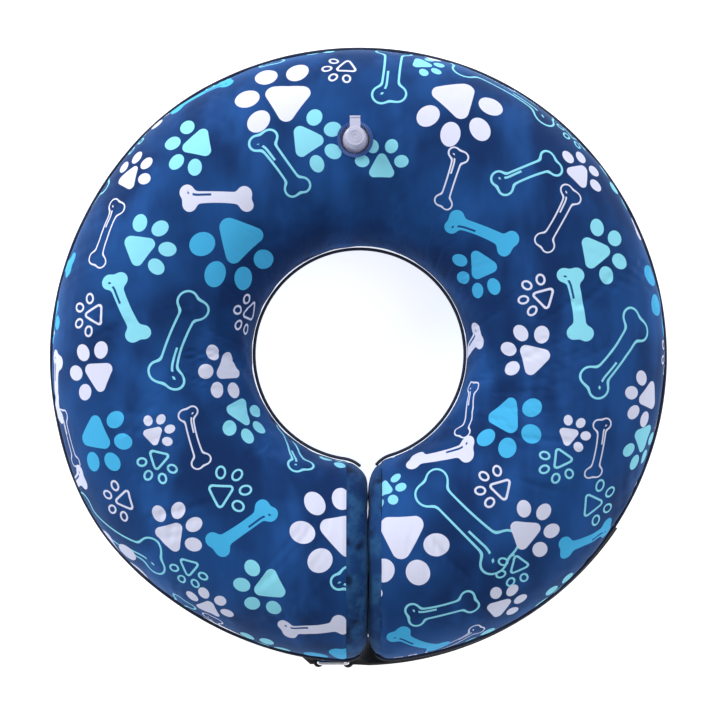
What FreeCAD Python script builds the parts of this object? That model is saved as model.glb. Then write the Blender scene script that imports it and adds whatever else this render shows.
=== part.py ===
"""Inflatable recovery collar: a soft air-filled ring that opens at a slit below.

The ring lies flat on its back, its front face up. Millimetres, +Z up along the ring's axis,
+Y towards the top of the ring, origin on the axis in the plane that the back rests on.
Angles round the ring are counted from +X towards +Y, so the top is 90 and the slit near 270.
"""
import FreeCAD, Part
import math
import os

os.makedirs("parts", exist_ok=True)

Vec = FreeCAD.Vector
ORIGIN = Vec(0, 0, 0)
UP = Vec(0, 0, 1)

# ---- driving dimensions -------------------------------------------------------------------
# ring
outer_radius = 184.0        # cover at its widest, without the piping
neck_radius = 65.0          # cover at its narrowest, without the piping
tube_height = 98.0          # full height of the air tube, along the axis
flat_depth = 1.0            # how far the underside settles flat
slit_offset = 5.0           # middle of the slit, to the right of the axis
slit_gap = 6.0              # between the two end faces
outer_corner = 15.0         # rounding of an arm's end at the rim
neck_corner = 12.0          # rounding of an arm's end at the neck
bend_angle = 45.0           # the arms bend from the crown this far each side of the top
bend_gap = 0.2              # gap at each bend, in degrees
bend_reach = 4.0            # bend axes stand this far outside the rim

# cover, piping and bladder
cloth = 2.0                 # plush with its foam backing
panel_deep = 4 * cloth      # how far a cutter or a tape's outline goes into a panel
overrun = 2.0               # how far a cutter runs past what it cuts
seam_gap = 0.7              # between the front and back panels at a seam
fit_gap = 0.1               # between sewn or welded pieces that touch
bladder_gap = 1.2           # between the cover and the bladder
film = 0.8
bead_radius = 1.2           # piping cord
flange_thickness = 0.5

# valve
valve_offset = -2.5         # to the left of the ring's middle line
buttonhole_inner = 8.6
buttonhole_outer = 10.5
buttonhole_height = 2.4
valve_flange_radius = 13.0
valve_flange_hole = 7.2
valve_flange_thickness = 1.0
valve_flange_drop = 1.4     # valve flange below the cover's inner face
diaphragm_wall = 0.8
diaphragm_base = 8.2
diaphragm_top = 6.1
base_rise = 2.0             # stem's base above the cover
base_radius = 6.1
base_height = 1.2
stem_radius = 5.0
stem_height = 10.0          # whole stem, base included
mouth_radius = 4.2
mouth_depth = 4.0
port_radius = 3.4
flap_radius = 4.4
flap_thickness = 0.6
flap_gap = 0.3
cap_radius = 5.5
cap_height = 1.5
cap_gap = 0.1
cap_rim = 0.4               # raised rings on the cap's top
cap_rim_shares = (0.62, 0.3)    # their radii, as shares of the cap's
plug_top_gap = 0.2
plug_tip_gap = 0.9
plug_depth = 3.0
tether_width = 6.0
tether_thickness = 1.1
tether_drop = 1.9           # tether's collar below the stem's mouth
tether_collar = 6.3
cap_hinge_reach = 11.0      # cap's bending line, from the valve's axis
cap_hinge_gap = 0.25

# zipper, in the left arm's back panel
zip_drop = 38.0             # degrees below the tube's widest line
zip_start = 152.0           # closed end
zip_end = 236.0
zip_slot = 14.6             # cut in the cover
tape_width = 5.2
tape_thickness = 0.8
tape_depth = 0.5            # tape's face below the cover's
row_width = 1.5             # tooth row
row_height = 1.6
row_gap = 0.9               # between the two rows
row_depth = 0.1
stop_length = 2.2
slider_length = 9.0
slider_width = 8.0
slider_plate = 0.9
slider_gap = 0.3
bail_height = 2.2           # clear height inside the bail
bail_wall = 0.9
bail_length = 4.4
pull_length = 22.0
pull_width = 5.0
pull_thickness = 1.1
pull_round = 0.3            # corner rounding, as a share of the width
pull_bar = 1.2              # pull's end, inside the bail
pull_eye = 3.0              # opening beside that end

# webbing, ring, hook and loop
strap_width = 25.0
strap_webbing = 1.6
tab_webbing = 1.3
strap_lean = 32.0           # degrees that the webbing leans in towards the back
strap_shift = 5.0           # strap's middle, forward of where it touches the tube
strap_end = 326.0
tab_start = 246.0
tab_shift = 0.0
twist_length = 8.0          # over which the webbing turns from upright to leaning
tape_soft = 0.9             # hook tape and loop tape, each
hook_width = 18.0
hook_margin = 2.0           # strap left bare past the hook tape
loop_width = 20.0
hook_start = 291.0
loop_start = 279.0
hold_gap = 0.35             # between the hook tape and the loop tape
wire_radius = 1.5
wire_corner = 3.2           # inside corner of the ring
ring_length = 18.0          # between the middles of its two bars
ring_spare = 1.5            # window height beyond the strap's width
ring_middle = -16.0         # ring's middle, across the collar
ring_clear = 1.0            # least gap below the piping
loop_play = 0.3             # round a bar
loop_neck = 5.0             # doubled webbing beside a bar

# ---- worked out ---------------------------------------------------------------------------
tube_radius = (outer_radius + neck_radius) / 2
half_width = (outer_radius - neck_radius) / 2
half_height = tube_height / 2
mid_z = half_height - flat_depth
top_z = mid_z + half_height
big = 2 * outer_radius
left, right = -1, 1
left_bend = 90.0 + bend_angle
right_bend = 90.0 - bend_angle
past_slit = 12.0            # degrees that an arm is drawn past the slit before it is trimmed

nodes = {}


def keep(name, shape):
    """Store a piece under its node name, refusing an empty or broken shape."""
    if not shape.Solids or not shape.isValid():
        raise ValueError("bad shape: " + name)
    nodes[name] = shape if len(shape.Solids) > 1 else shape.Solids[0]


# ---- sections of the tube, drawn in the XZ plane -------------------------------------------
def tube_point(inset, angle):
    """Point on the tube's section, inset from the cover's face. Angle 0 is the rim."""
    a = half_width - inset
    b = half_height - inset
    return Vec(tube_radius + a * math.cos(angle), 0, mid_z + b * math.sin(angle))


def tube_arc(inset, start, stop):
    """Stretch of the tube's elliptical section, radians from the rim towards the front."""
    a = half_width - inset
    b = half_height - inset
    middle = Vec(tube_radius, 0, mid_z)
    if a >= b:
        ellipse = Part.Ellipse(middle + Vec(a, 0, 0), middle + Vec(0, 0, b), middle)
        turn = 0.0
    else:
        ellipse = Part.Ellipse(middle + Vec(0, 0, b), middle + Vec(-a, 0, 0), middle)
        turn = math.pi / 2
    return Part.ArcOfEllipse(ellipse, start - turn, stop - turn).toShape()


def outline_face(edges):
    return Part.Face(Part.Wire(Part.__sortEdges__(edges)))


def line(a, b):
    return Part.makeLine(a, b)


def polygon(points):
    return Part.Face(Part.makePolygon(points + points[:1]))


def front_section():
    """Front panel's section, cut off flat at both seams."""
    outer = math.asin(seam_gap / 2 / half_height)
    inner = math.asin(seam_gap / 2 / (half_height - cloth))
    ends = [line(tube_point(0, a), tube_point(cloth, b))
            for a, b in ((outer, inner), (math.pi - outer, math.pi - inner))]
    arcs = [tube_arc(0, outer, math.pi - outer), tube_arc(cloth, inner, math.pi - inner)]
    return outline_face(arcs + ends)


def back_section():
    """Back panel's section, with the flat band that the collar rests on."""
    outer = math.asin(seam_gap / 2 / half_height)
    inner = math.asin(seam_gap / 2 / (half_height - cloth))
    flat = math.asin(mid_z / half_height)
    ends = [line(tube_point(0, -a), tube_point(cloth, -b))
            for a, b in ((outer, inner), (math.pi - outer, math.pi - inner))]
    arcs = [tube_arc(0, -flat, -outer),
            tube_arc(0, outer - math.pi, flat - math.pi),
            tube_arc(cloth, inner - math.pi, -inner)]
    bed = line(tube_point(0, -flat), tube_point(0, flat - math.pi))
    return outline_face(arcs + ends + [bed])


def tube_section(inset):
    return outline_face([tube_arc(inset, 0, math.pi), tube_arc(inset, math.pi, 2 * math.pi)])


def sweep(section, start, stop):
    """Turn a section in the XZ plane round the axis, from one angle to another."""
    face = section.copy()
    face.rotate(ORIGIN, UP, start)
    return face.revolve(ORIGIN, UP, stop - start)


# ---- ends of the arms -----------------------------------------------------------------------
def end_face(side, inset=0.0):
    return slit_offset + side * (slit_gap / 2 + inset)


def outer_corner_middle(side):
    x = end_face(side) + side * outer_corner
    return x, -math.sqrt((outer_radius - outer_corner) ** 2 - x * x)


def neck_corner_middle(side):
    x = end_face(side) + side * neck_corner
    return x, -math.sqrt((neck_radius + neck_corner) ** 2 - x * x)


def box_between(x0, x1, y0, y1):
    """Upright box right through the collar's height."""
    size = Vec(abs(x1 - x0), abs(y1 - y0), 2 * tube_height)
    return Part.makeBox(size.x, size.y, size.z, Vec(min(x0, x1), min(y0, y1), -tube_height / 2))


def upright(radius, x, y):
    return Part.makeCylinder(radius, 2 * tube_height, Vec(x, y, -tube_height / 2))


def trim_end(shape, side, inset=0.0):
    """Cut a body off at an arm's end face and round its two corners."""
    face = end_face(side, inset)
    shape = shape.cut(box_between(face, face - side * big, 0, -big))
    x, y = outer_corner_middle(side)
    corner = box_between(x, face - side, y, -big).cut(upright(outer_corner - inset, x, y))
    shape = shape.cut(corner)
    x, y = neck_corner_middle(side)
    corner = box_between(x, face - side, y, 0).cut(upright(neck_corner - inset, x, y))
    return shape.cut(corner)


def arm_range(side):
    """Angles from which to which an arm is swept, before its end is trimmed."""
    if side == left:
        return left_bend + bend_gap / 2, 270.0 + past_slit
    return 270.0 - past_slit, 360.0 + right_bend - bend_gap / 2


def sweep_arm(section, side, inset=0.0):
    start, stop = arm_range(side)
    return trim_end(sweep(section, start, stop), side, inset)


def sweep_crown(section):
    return sweep(section, right_bend + bend_gap / 2, left_bend - bend_gap / 2)


arm_names = {left: "left", right: "right"}


# ---- cover ----------------------------------------------------------------------------------
def valve_middle(z):
    return Vec(valve_offset, tube_radius - 1.0, z)


def valve_rod(radius, low, high, bore=0.0):
    """Round or tubular piece on the valve's axis."""
    rod = Part.makeCylinder(radius, high - low, valve_middle(low))
    if bore:
        rod = rod.cut(Part.makeCylinder(bore, high - low + 2, valve_middle(low - 1)))
    return rod


def zip_place(along, out):
    """Point beside the zipper's line: along the cover towards the front, and out of it."""
    drop = math.radians(zip_drop)
    seat = tube_point(0, -drop)
    normal = Vec(math.cos(drop) / half_width, 0, -math.sin(drop) / half_height)
    normal.normalize()
    tangent = Vec(-normal.z, 0, normal.x)
    return seat + tangent * along + normal * out


def zip_section(along0, along1, out0, out1):
    corners = ((along0, out0), (along1, out0), (along1, out1), (along0, out1))
    return polygon([zip_place(a, o) for a, o in corners])


def make_cover():
    front = front_section()
    back = back_section()
    hole = valve_rod(buttonhole_outer + fit_gap, mid_z, top_z + overrun)
    keep("cover_front_crown", sweep_crown(front).cut(hole))
    keep("cover_back_crown", sweep_crown(back))
    slot = sweep(zip_section(-zip_slot / 2, zip_slot / 2, -panel_deep, panel_deep / 2),
                 zip_start, zip_end)
    for side, name in arm_names.items():
        keep("cover_front_" + name, sweep_arm(front, side))
        panel = sweep_arm(back, side)
        keep("cover_back_" + name, panel.cut(slot) if side == left else panel)


def make_gussets():
    """Plain walls that close the two end faces, inside the panels' edges."""
    start_depth = outer_corner + neck_corner
    for side, name in arm_names.items():
        face = end_face(side)
        block = box_between(face + side * start_depth, face, -neck_radius / 2, -big)
        wall = trim_end(block, side).cut(trim_end(block, side, cloth))
        start, stop = arm_range(side)
        hollow = sweep(tube_section(cloth + fit_gap), start, stop)
        pieces = hollow.common(wall).Solids
        keep("end_gusset_" + name, max(pieces, key=lambda piece: piece.Volume))


def make_bladder():
    outer = cloth + bladder_gap
    inner = outer + film
    hole = valve_rod(valve_flange_radius + fit_gap, mid_z, top_z + overrun)
    crown = sweep_crown(tube_section(outer))
    core = sweep(tube_section(inner), right_bend - overrun, left_bend + overrun)
    keep("bladder_crown", crown.cut(core).cut(hole))
    for side, name in arm_names.items():
        start, stop = arm_range(side)
        core = sweep(tube_section(inner), start - overrun, stop + overrun)
        core = trim_end(core, side, inner)
        keep("bladder_" + name, sweep_arm(tube_section(outer), side, outer).cut(core))


def piping_section(edge, side):
    """Round cord with a flat edge sewn in between the panels. Side +1 puts the cord outside."""
    middle = Vec(edge + side * (bead_radius + fit_gap), 0, mid_z)
    bead = Part.Face(Part.Wire(Part.Circle(middle, Vec(0, 1, 0), bead_radius).toShape()))
    half = flange_thickness / 2
    inner = edge - side * cloth
    strip = polygon([Vec(inner, 0, mid_z - half), Vec(middle.x, 0, mid_z - half),
                     Vec(middle.x, 0, mid_z + half), Vec(inner, 0, mid_z + half)])
    return bead, strip


def make_piping():
    """Piping in the rim seam and the neck seam, up to where each corner starts."""
    for label, edge, out in (("rim", outer_radius, 1), ("neck", neck_radius, -1)):
        corner_x = {}
        for side in arm_names:
            middle = outer_corner_middle(side) if out > 0 else neck_corner_middle(side)
            corner_x[side] = math.degrees(math.asin(middle[0] / edge))
        spans = {"crown": (right_bend + bend_gap / 2, left_bend - bend_gap / 2),
                 "left": (left_bend + bend_gap / 2, 270.0 + corner_x[left]),
                 "right": (270.0 + corner_x[right], 360.0 + right_bend - bend_gap / 2)}
        for name, (start, stop) in spans.items():
            bead, strip = piping_section(edge, out)
            keep(label + "_piping_" + name,
                 sweep(bead, start, stop).fuse(sweep(strip, start, stop)).removeSplitter())


# ---- valve ----------------------------------------------------------------------------------
flange_top = top_z - cloth - valve_flange_drop
base_low = top_z + base_rise
stem_top = base_low + stem_height
cap_low = stem_top + cap_gap
tether_z = cap_low + cap_height / 2


def make_valve():
    keep("valve_buttonhole_ring",
         valve_rod(buttonhole_outer, top_z - cloth, top_z - cloth + buttonhole_height,
                   buttonhole_inner))
    keep("valve_flange",
         valve_rod(valve_flange_radius, flange_top - valve_flange_thickness, flange_top,
                   valve_flange_hole))
    foot = valve_middle(flange_top + fit_gap / 2)
    rise = base_low - fit_gap - foot.z
    skin = Part.makeCone(diaphragm_base, diaphragm_top, rise, foot)
    inside = Part.makeCone(diaphragm_base - diaphragm_wall, diaphragm_top - diaphragm_wall,
                           rise, foot)
    keep("valve_diaphragm", skin.cut(inside))

    stem = valve_rod(base_radius, base_low, base_low + base_height)
    stem = stem.fuse(valve_rod(stem_radius, base_low, stem_top))
    stem = stem.cut(valve_rod(port_radius, base_low - 1, stem_top + 1))
    stem = stem.cut(valve_rod(mouth_radius, stem_top - mouth_depth, stem_top + 1))
    keep("valve_stem", stem.removeSplitter())

    flap_top = base_low - flap_gap
    keep("valve_check_flap", valve_rod(flap_radius, flap_top - flap_thickness, flap_top))


def make_cap():
    """Cap with its tapered plug and the tab that leads to the tether's bending line."""
    cap = valve_rod(cap_radius, cap_low, cap_low + cap_height)
    cap = cap.makeFillet(cap_height / 3, [e for e in cap.Edges
                                          if abs(e.CenterOfMass.z - cap_low - cap_height) < 0.01
                                          and e.Length > cap_radius])
    for share in cap_rim_shares:
        radius = cap_radius * share
        cap = cap.fuse(valve_rod(radius, cap_low + cap_height / 2,
                                 cap_low + cap_height + cap_rim, radius - cap_rim))
    plug = Part.makeCone(mouth_radius - plug_tip_gap, mouth_radius - plug_top_gap, plug_depth,
                         valve_middle(cap_low - plug_depth))
    middle = valve_middle(tether_z)
    half = tether_thickness / 2
    reach = cap_hinge_reach - half - cap_hinge_gap
    tab = Part.makeBox(tether_width, reach, tether_thickness,
                       Vec(middle.x - tether_width / 2, middle.y, tether_z - half))
    keep("valve_cap", cap.fuse(tab).fuse(plug).removeSplitter())


def make_tether():
    """Collar round the stem, an arm out from it, and the rounded line that the cap bends on."""
    middle = valve_middle(0)
    half = tether_thickness / 2
    hinge_y = middle.y + cap_hinge_reach
    high = stem_top - tether_drop
    low = high - tether_thickness
    corner = Vec(middle.x - tether_width / 2, middle.y, low)
    arm = Part.makeBox(tether_width, cap_hinge_reach + half, tether_thickness, corner)
    strip = Part.makeBox(tether_width, tether_thickness, tether_z - low,
                         Vec(corner.x, hinge_y - half, low))
    strip = strip.fuse(arm).removeSplitter()
    bend = [e for e in strip.Edges
            if abs(e.CenterOfMass.y - hinge_y - half) < 0.01 and abs(e.CenterOfMass.z - low) < 0.01]
    strip = strip.makeFillet(half, bend)
    roll = Part.makeCylinder(half, tether_width, Vec(corner.x, hinge_y, tether_z), Vec(1, 0, 0))
    tether = strip.fuse(roll).fuse(valve_rod(tether_collar, low, high))
    keep("valve_tether", tether.cut(valve_rod(stem_radius + fit_gap, low - 1, high + 1))
         .removeSplitter())


# ---- zipper ---------------------------------------------------------------------------------
def zip_angle(length):
    """Length along the zipper's line as an angle round the ring."""
    return math.degrees(length / zip_place(0, 0).x)


def make_zipper_rows():
    inner = row_gap / 2
    outer = inner + row_width
    low = -row_depth - row_height
    ends = {"zipper_top_stop": (zip_start, zip_start + zip_angle(stop_length)),
            "zipper_bottom_stop": (zip_end - zip_angle(stop_length), zip_end)}
    row_start = ends["zipper_top_stop"][1] + zip_angle(fit_gap)
    row_stop = ends["zipper_bottom_stop"][0] - zip_angle(fit_gap)
    for label, way in (("front", 1), ("back", -1)):
        tape_inner = outer + fit_gap / 2
        tape = zip_section(way * tape_inner, way * (tape_inner + tape_width),
                           -tape_depth - tape_thickness, -tape_depth)
        keep("zipper_tape_" + label, sweep(tape, zip_start, zip_end))
        row = zip_section(way * inner, way * outer, low, -row_depth)
        keep("zipper_teeth_" + label, sweep(row, row_start, row_stop))
    for name, (start, stop) in ends.items():
        keep(name, sweep(zip_section(-outer, outer, low, -row_depth), start, stop))


slider_start = zip_start + zip_angle(stop_length + 2 * fit_gap)
slider_stop = slider_start + zip_angle(slider_length)


def zip_frame(angle):
    """Directions at one place on the zipper: across it, out of it and along it, and its seat."""
    seat = zip_place(0, 0)
    across = zip_place(1, 0) - seat
    out = zip_place(0, 1) - seat
    placement = FreeCAD.Placement(ORIGIN, FreeCAD.Rotation(UP, angle))
    along = Vec(0, 1, 0)
    return [placement.multVec(v) for v in (seat, across, out, along)]


def oriented_box(angle, across0, across1, out0, out1, along0, along1):
    """Flat-sided block at one place on the zipper."""
    seat, across, out, along = zip_frame(angle)
    corners = [seat + across * a + out * o + along * along0
               for a, o in ((across0, out0), (across1, out0), (across1, out1), (across0, out1))]
    return polygon(corners).extrude(along * (along1 - along0))


def make_slider():
    """Two plates joined by a thin wedge between the tooth rows, with a bail for the pull."""
    wide = slider_width / 2
    top_low = -row_depth + slider_gap
    bottom_high = -row_depth - row_height - slider_gap
    middle = (slider_start + slider_stop) / 2
    slider = sweep(zip_section(-wide, wide, top_low, top_low + slider_plate),
                   slider_start, slider_stop)
    slider = slider.fuse(sweep(zip_section(-wide, wide, bottom_high - slider_plate / 2,
                                           bottom_high), slider_start, slider_stop))
    web = row_gap / 2 - fit_gap
    slider = slider.fuse(sweep(zip_section(-web, web, bottom_high - slider_plate / 4,
                                           top_low + slider_plate / 2),
                               slider_start, slider_start + zip_angle(slider_length / 3)))
    bail_low = top_low + slider_plate / 2
    bail_high = top_low + slider_plate + bail_height + bail_wall
    half = bail_length / 2
    bail = oriented_box(middle, -bail_wall, bail_wall, bail_low, bail_high, -half, half)
    window = oriented_box(middle, -2 * bail_wall, 2 * bail_wall, top_low + slider_plate,
                          bail_high - bail_wall, -half + bail_wall, half - bail_wall)
    keep("zipper_slider", slider.fuse(bail.cut(window)).removeSplitter())


pull_axis = -row_depth + slider_gap + slider_plate + bail_height / 2


def make_pull():
    """Pull that hangs on the slider's bail by an eye, and lies along the zipper at rest."""
    middle = (slider_start + slider_stop) / 2
    low = pull_axis - pull_thickness / 2
    high = pull_axis + pull_thickness / 2
    half = pull_width / 2
    tab = oriented_box(middle, -half, half, low, high, -pull_bar / 2, pull_length)
    ends = [e for e in tab.Edges if abs(e.Length - pull_thickness) < 0.01]
    far = [e for e in ends if (e.CenterOfMass - zip_frame(middle)[0]).Length > pull_length / 2]
    tab = tab.makeFillet(pull_width * pull_round, far)
    side = bail_wall + slider_gap
    eye = oriented_box(middle, -side, side, low - 1, high + 1,
                       pull_bar / 2, pull_bar / 2 + pull_eye)
    keep("zipper_pull", tab.cut(eye))


# ---- webbing --------------------------------------------------------------------------------
def lean_place(shift, standoff, along, out):
    """Point in the webbing's section: forward along its face, and out from the tube."""
    lean = math.radians(strap_lean)
    reach = math.hypot(half_width * math.cos(lean), half_height * math.sin(lean))
    seat = Vec(tube_radius + half_width ** 2 * math.cos(lean) / reach, 0,
               mid_z - half_height ** 2 * math.sin(lean) / reach)
    forward = Vec(math.sin(lean), 0, math.cos(lean))
    outward = Vec(math.cos(lean), 0, -math.sin(lean))
    return seat + forward * (shift + along) + outward * (standoff + out)


def webbing_corners(shift, standoff, width, thickness):
    half = width / 2
    corners = ((-half, 0), (half, 0), (half, thickness), (-half, thickness))
    return [lean_place(shift, standoff, a, o) for a, o in corners]


strap_standoff = 2 * tape_soft + hold_gap + fit_gap
strap_middle = lean_place(strap_shift, strap_standoff, 0, strap_webbing / 2)
ring_half_height = (strap_width + ring_spare) / 2 + wire_radius
ring_z = min(strap_middle.z,
             mid_z - bead_radius - ring_clear - ring_half_height - wire_radius)
loop_outer = {"strap": wire_radius + loop_play + strap_webbing,
              "tab": wire_radius + loop_play + tab_webbing}
ring_y = -(outer_radius + max(loop_outer.values()))
left_bar = ring_middle - ring_length / 2
right_bar = ring_middle + ring_length / 2


def turned(points, angle):
    placement = FreeCAD.Placement(ORIGIN, FreeCAD.Rotation(UP, angle))
    return [placement.multVec(p) for p in points]


def upright_corners(x, width, thickness):
    """Section of upright doubled webbing beside a bar, in the order of webbing_corners."""
    low = ring_z - width / 2
    high = ring_z + width / 2
    near = ring_y + thickness / 2
    far = ring_y - thickness / 2
    return [Vec(x, near, low), Vec(x, near, high), Vec(x, far, high), Vec(x, far, low)]


def bar_loop(x, way, width, webbing):
    """Webbing folded round a bar and laid double beside it, to the left or to the right."""
    inner = wire_radius + loop_play
    low = ring_z - width / 2
    eye = Part.makeCylinder(inner + webbing, width, Vec(x, ring_y, low))
    neck = Part.makeBox(loop_neck, 2 * webbing, width,
                        Vec(x + (way - 1) * loop_neck / 2, ring_y - webbing, low))
    hole = Part.makeCylinder(inner, width + 2, Vec(x, ring_y, low - 1))
    return eye.fuse(neck).cut(hole)


def between(first, second):
    """Straight-sided body between two four-cornered sections."""
    wires = [Part.makePolygon(c + c[:1]) for c in (first, second)]
    return Part.makeLoft(wires, True, True)


def make_webbing(bar_x, way, webbing, shift, standoff, thickness, start, stop):
    """Loop on a bar, a twist, and a leaning band that follows the tube."""
    band = polygon(webbing_corners(shift, standoff, strap_width, thickness))
    body = sweep(band, start, stop)
    near = start if way > 0 else stop
    lean = turned(webbing_corners(shift, standoff, strap_width, thickness), near)
    neck_x = bar_x + way * loop_neck
    body = body.fuse(between(upright_corners(neck_x, strap_width, 2 * webbing), lean))
    return body.fuse(bar_loop(bar_x, way, strap_width, webbing)).removeSplitter()


def band_angle(x):
    """Angle round the ring at which the webbing's middle is at this x, near the slit."""
    return 270.0 + math.degrees(math.asin(x / strap_middle.x))


def make_strap():
    start = band_angle(right_bar + loop_neck + twist_length)
    strap = make_webbing(right_bar, 1, strap_webbing, strap_shift, strap_standoff,
                         strap_webbing, start, strap_end)
    keep("closure_strap", strap)
    margin = math.degrees(hook_margin / strap_middle.x)
    band = polygon(webbing_corners(strap_shift, strap_standoff - tape_soft - fit_gap,
                                   hook_width, tape_soft))
    keep("strap_hook_tape", sweep(band, hook_start, strap_end - margin))


def make_loop_tape():
    """Soft half of the fastening, following the right arm's cover."""
    skin = sweep(tube_section(-fit_gap - tape_soft), loop_start, strap_end)
    skin = skin.cut(sweep(tube_section(-fit_gap), loop_start - overrun, strap_end + overrun))
    reach = polygon(webbing_corners(strap_shift, -panel_deep, loop_width, 2 * panel_deep))
    keep("rim_loop_tape", skin.common(sweep(reach, loop_start - overrun / 2, strap_end + overrun / 2)))


def make_tab():
    stop = band_angle(left_bar - loop_neck - twist_length)
    tab = make_webbing(left_bar, -1, tab_webbing, tab_shift, fit_gap, 2 * tab_webbing,
                       tab_start, stop)
    keep("keeper_tab", tab)


def make_ring():
    """Rectangular wire ring, upright, with rounded corners."""
    half_x = ring_length / 2
    half_z = ring_half_height
    bend = wire_corner
    middle = Vec(ring_middle, ring_y, ring_z)
    turn = math.sqrt(0.5)
    path = []
    signs = ((1, 1), (-1, 1), (-1, -1), (1, -1))
    for index, (sx, sz) in enumerate(signs):
        centre = middle + Vec(sx * (half_x - bend), 0, sz * (half_z - bend))
        side = centre + Vec(sx * bend, 0, 0)
        end = centre + Vec(0, 0, sz * bend)
        first, last = (side, end) if sx * sz > 0 else (end, side)
        mid = centre + Vec(sx * bend * turn, 0, sz * bend * turn)
        path.append(Part.Arc(first, mid, last).toShape())
        nx, nz = signs[(index + 1) % 4]
        following = middle + Vec(nx * (half_x - bend), 0, nz * (half_z - bend))
        following += Vec(0, 0, nz * bend) if sx * sz > 0 else Vec(nx * bend, 0, 0)
        path.append(line(last, following))
    wire = Part.Wire(path)
    start = path[0].Vertexes[0].Point
    profile = Part.Wire(Part.Circle(start, UP, wire_radius).toShape())
    keep("strap_ring", wire.makePipeShell([profile], True, True))


# ---- build ----------------------------------------------------------------------------------
make_cover()
make_gussets()
make_bladder()
make_piping()
make_valve()
make_cap()
make_tether()
make_zipper_rows()
make_slider()
make_pull()
make_strap()
make_loop_tape()
make_tab()
make_ring()

for name, shape in nodes.items():
    shape.exportStep("parts/" + name + ".step")
    print(name, round(shape.Volume, 1))

print("bend axes at", round((outer_radius + bend_reach) * math.cos(math.radians(left_bend)), 3),
      round((outer_radius + bend_reach) * math.sin(math.radians(left_bend)), 3))
print("ring bars at x", round(left_bar, 3), round(right_bar, 3), "y", round(ring_y, 3),
      "z", round(ring_z, 3))
print("valve port at", valve_middle(base_low), "stem top", stem_top, "flange top", flange_top)
print("cap bends at y", valve_middle(0).y + cap_hinge_reach, "z", tether_z)
print("check flap bends at y", valve_middle(0).y - flap_radius, "z", base_low - flap_gap)
print("slider travels", zip_end - zip_angle(stop_length + fit_gap) - slider_stop, "degrees")
pull_seat, pull_across, pull_out, pull_along = zip_frame((slider_start + slider_stop) / 2)
print("pull turns at", pull_seat + pull_out * pull_axis, "about", pull_across)
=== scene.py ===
import math
import bpy
import numpy as np
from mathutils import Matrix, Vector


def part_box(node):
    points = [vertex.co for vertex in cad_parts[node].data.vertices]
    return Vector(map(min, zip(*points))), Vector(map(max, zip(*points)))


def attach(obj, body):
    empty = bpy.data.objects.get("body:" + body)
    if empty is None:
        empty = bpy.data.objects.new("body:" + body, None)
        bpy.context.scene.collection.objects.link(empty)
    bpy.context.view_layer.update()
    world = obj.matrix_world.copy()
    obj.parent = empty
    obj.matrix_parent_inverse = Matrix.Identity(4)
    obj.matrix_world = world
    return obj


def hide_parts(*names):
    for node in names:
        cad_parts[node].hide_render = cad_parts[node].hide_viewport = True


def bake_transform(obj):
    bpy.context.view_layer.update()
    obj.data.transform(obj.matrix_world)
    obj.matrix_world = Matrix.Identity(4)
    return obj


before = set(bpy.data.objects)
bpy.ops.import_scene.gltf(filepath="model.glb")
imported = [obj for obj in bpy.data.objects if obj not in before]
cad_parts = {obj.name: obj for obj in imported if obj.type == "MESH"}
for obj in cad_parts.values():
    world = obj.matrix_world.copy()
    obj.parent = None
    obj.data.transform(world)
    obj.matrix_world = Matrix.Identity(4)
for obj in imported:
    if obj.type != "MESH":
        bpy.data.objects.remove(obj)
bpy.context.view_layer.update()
mm = 0.001
left, right = -1, 1
armName = {left: "left", right: "right"}

# sizes of the tube, read from the frame
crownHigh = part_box("cover_front_crown")[1]
rimLow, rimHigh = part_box("rim_piping_crown")
outerRadius, topZ = crownHigh.y, crownHigh.z
midZ = (rimLow.z + rimHigh.z) / 2
beadRadius = (rimHigh.z - rimLow.z) / 2
rimBead = rimHigh.y - beadRadius
flangeReach = 2.0 * mm
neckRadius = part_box("neck_piping_crown")[1].y - flangeReach
neckBead = neckRadius - (rimBead - outerRadius)
tubeRadius = (outerRadius + neckRadius) / 2
halfWidth = (outerRadius - neckRadius) / 2
halfHeight = topZ - midZ
endPuff = 2.7 * mm                # the soft ends swell towards each other
faceX = {left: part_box("cover_front_left")[1].x + endPuff,
         right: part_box("cover_front_right")[0].x - endPuff}
valveLow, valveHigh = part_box("valve_stem")
valveX, valveY = (valveLow.x + valveHigh.x) / 2, (valveLow.y + valveHigh.y) / 2


# helpers
def smooth(t):
    t = np.clip(t, 0, 1)
    return t * t * (3 - 2 * t)


def wander(place, spacing, seed):
    # soft random wave along a line, from -1 to 1
    values = np.random.default_rng(seed).uniform(-1, 1, 997)
    cell = np.floor(place / spacing).astype(int)
    t = smooth(place / spacing - cell)
    return values[cell % 997] * (1 - t) + values[(cell + 1) % 997] * t


def patches(x, y, spacing, seed):
    # soft random hills over a surface, from -1 to 1
    values = np.random.default_rng(seed).uniform(-1, 1, (211, 211))
    cx, cy = np.floor(x / spacing).astype(int), np.floor(y / spacing).astype(int)
    tx, ty = smooth(x / spacing - cx), smooth(y / spacing - cy)
    a = values[cx % 211, cy % 211] * (1 - tx) + values[(cx + 1) % 211, cy % 211] * tx
    b = values[cx % 211, (cy + 1) % 211] * (1 - tx) + values[(cx + 1) % 211, (cy + 1) % 211] * tx
    return a * (1 - ty) + b * ty


def gridNormals(points, inward):
    along = np.gradient(points, axis=0)
    across = np.gradient(points, axis=1)
    normal = np.cross(along, across) if inward else np.cross(across, along)
    return normal / np.maximum(np.linalg.norm(normal, axis=2, keepdims=True), 1e-12)


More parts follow.
